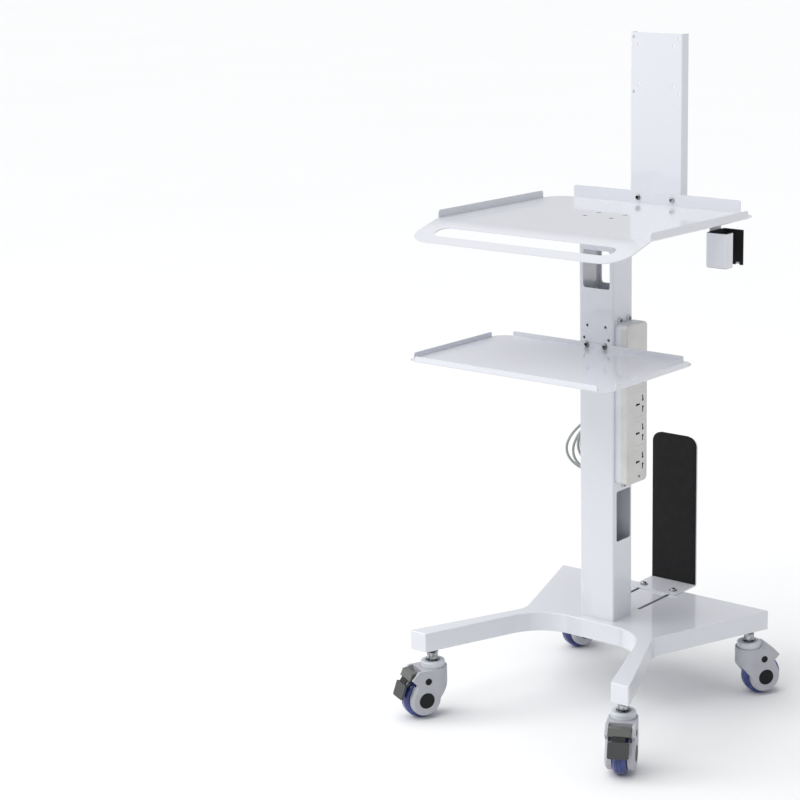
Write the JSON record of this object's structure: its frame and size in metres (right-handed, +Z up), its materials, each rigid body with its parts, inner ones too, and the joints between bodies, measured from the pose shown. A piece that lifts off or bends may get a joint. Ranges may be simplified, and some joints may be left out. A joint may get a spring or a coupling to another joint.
{
  "type": "ultrasound trolley",
  "caption": "White sheet-steel medical cart: splayed box base on braked casters, column, two trays, monitor plate, probe cup, power strip and sliding rear bracket.",
  "frame": {"origin": "on the floor, under the middle of the column", "axes": "+X to the right of a person facing the front, -Y to the front, +Z up"},
  "size_m": [0.5276, 0.5613, 1.237],
  "materials": {
    "white_coat": "gloss powder coat",
    "zinc": "zinc plated",
    "ring_plastic": "satin",
    "black_foam": "matt foam rubber",
    "strip_white": "satin moulded plastic",
    "strip_grey": "satin moulded plastic",
    "lamp_red": "clear lens, unlit",
    "cord_grey": "satin sheath",
    "plug_grey": "satin moulded plastic",
    "black_plastic": "satin moulded plastic",
    "caster_grey": "fine texture",
    "hub_grey": "fine texture",
    "tyre_blue": "translucent polyurethane",
    "pedal_grey": "fine texture"
  },
  "bodies": {
    "frame": {"base_shell": "white_coat", "base_bottom_plate": "white_coat", "caster_sockets": "zinc", "caster_stems": "zinc", "caster_rings": "ring_plastic", "base_stiffener": "white_coat", "column": "white_coat", "column_foot_plate": "zinc", "column_foot_bolts": "zinc", "column_top_plate": "white_coat", "top_tray": "white_coat", "top_tray_screws": "zinc", "lower_tray": "white_coat", "lower_tray_bolts": "zinc", "monitor_plate": "white_coat", "monitor_plate_bolts": "zinc", "probe_holder": "white_coat", "probe_holder_lining": "black_foam", "probe_holder_screws": "zinc", "power_strip_housing": "strip_white", "power_strip_cover": "strip_grey", "power_strip_sockets": "strip_grey", "power_strip_lamp": "lamp_red", "power_strip_screws": "zinc", "cord_inner": "cord_grey", "cord_gland": "black_plastic", "cord_lead": "cord_grey", "cord_coil": "cord_grey", "cord_tail": "cord_grey", "cord_tie_mount": "black_plastic", "cord_tie": "black_foam", "power_plug": "plug_grey"},
    "rear_bracket": {"rear_bracket": "white_coat", "rear_pad": "black_foam", "rear_bracket_bolts": "zinc"},
    "swivel_front_left": {"caster_front_left_housing": "caster_grey", "caster_front_left_axle": "zinc", "caster_front_left_caps": "black_plastic", "caster_front_left_brake_pin": "zinc"},
    "wheel_front_left": {"caster_front_left_hub": "hub_grey", "caster_front_left_tyre": "tyre_blue"},
    "brake_front_left": {"caster_front_left_pedal": "pedal_grey"},
    "swivel_front_right": {"caster_front_right_housing": "caster_grey", "caster_front_right_axle": "zinc", "caster_front_right_caps": "black_plastic", "caster_front_right_brake_pin": "zinc"},
    "wheel_front_right": {"caster_front_right_hub": "hub_grey", "caster_front_right_tyre": "tyre_blue"},
    "brake_front_right": {"caster_front_right_pedal": "pedal_grey"},
    "swivel_rear_left": {"caster_rear_left_housing": "caster_grey", "caster_rear_left_axle": "zinc", "caster_rear_left_caps": "black_plastic"},
    "wheel_rear_left": {"caster_rear_left_hub": "hub_grey", "caster_rear_left_tyre": "tyre_blue"},
    "swivel_rear_right": {"caster_rear_right_housing": "caster_grey", "caster_rear_right_axle": "zinc", "caster_rear_right_caps": "black_plastic"},
    "wheel_rear_right": {"caster_rear_right_hub": "hub_grey", "caster_rear_right_tyre": "tyre_blue"}
  },
  "joints": [
    {"name": "rear_bracket_slide", "type": "slide", "parent": "frame", "child": "rear_bracket", "axis": [0, -1, 0], "range_m": [0, 0.11]},
    {"name": "swivel_front_left", "type": "hinge", "parent": "frame", "child": "swivel_front_left", "pos_m": [-0.215, -0.252, 0.1], "axis": [0, 0, 1], "continuous": true},
    {"name": "wheel_front_left", "type": "hinge", "parent": "swivel_front_left", "child": "wheel_front_left", "pos_m": [-0.22556, -0.27466, 0.0375], "axis": [-0.9063, 0.4226, 0], "continuous": true},
    {"name": "brake_front_left", "type": "hinge", "parent": "swivel_front_left", "child": "brake_front_left", "pos_m": [-0.23148, -0.28735, 0.084], "axis": [0.9063, -0.4226, 0], "range_deg": [0, 9]},
    {"name": "swivel_front_right", "type": "hinge", "parent": "frame", "child": "swivel_front_right", "pos_m": [0.215, -0.252, 0.1], "axis": [0, 0, 1], "continuous": true},
    {"name": "wheel_front_right", "type": "hinge", "parent": "swivel_front_right", "child": "wheel_front_right", "pos_m": [0.22635, -0.27427, 0.0375], "axis": [-0.891, -0.454, 0], "continuous": true},
    {"name": "brake_front_right", "type": "hinge", "parent": "swivel_front_right", "child": "brake_front_right", "pos_m": [0.23271, -0.28675, 0.084], "axis": [0.891, 0.454, 0], "range_deg": [0, 9]},
    {"name": "swivel_rear_left", "type": "hinge", "parent": "frame", "child": "swivel_rear_left", "pos_m": [-0.212, 0.17, 0.1], "axis": [0, 0, 1], "continuous": true},
    {"name": "wheel_rear_left", "type": "hinge", "parent": "swivel_rear_left", "child": "wheel_rear_left", "pos_m": [-0.20345, 0.19349, 0.0375], "axis": [0.9397, -0.342, 0], "continuous": true},
    {"name": "swivel_rear_right", "type": "hinge", "parent": "frame", "child": "swivel_rear_right", "pos_m": [0.212, 0.17, 0.1], "axis": [0, 0, 1], "continuous": true},
    {"name": "wheel_rear_right", "type": "hinge", "parent": "swivel_rear_right", "child": "wheel_rear_right", "pos_m": [0.22562, 0.19097, 0.0375], "axis": [0.8387, -0.5446, 0], "continuous": true}
  ]
}
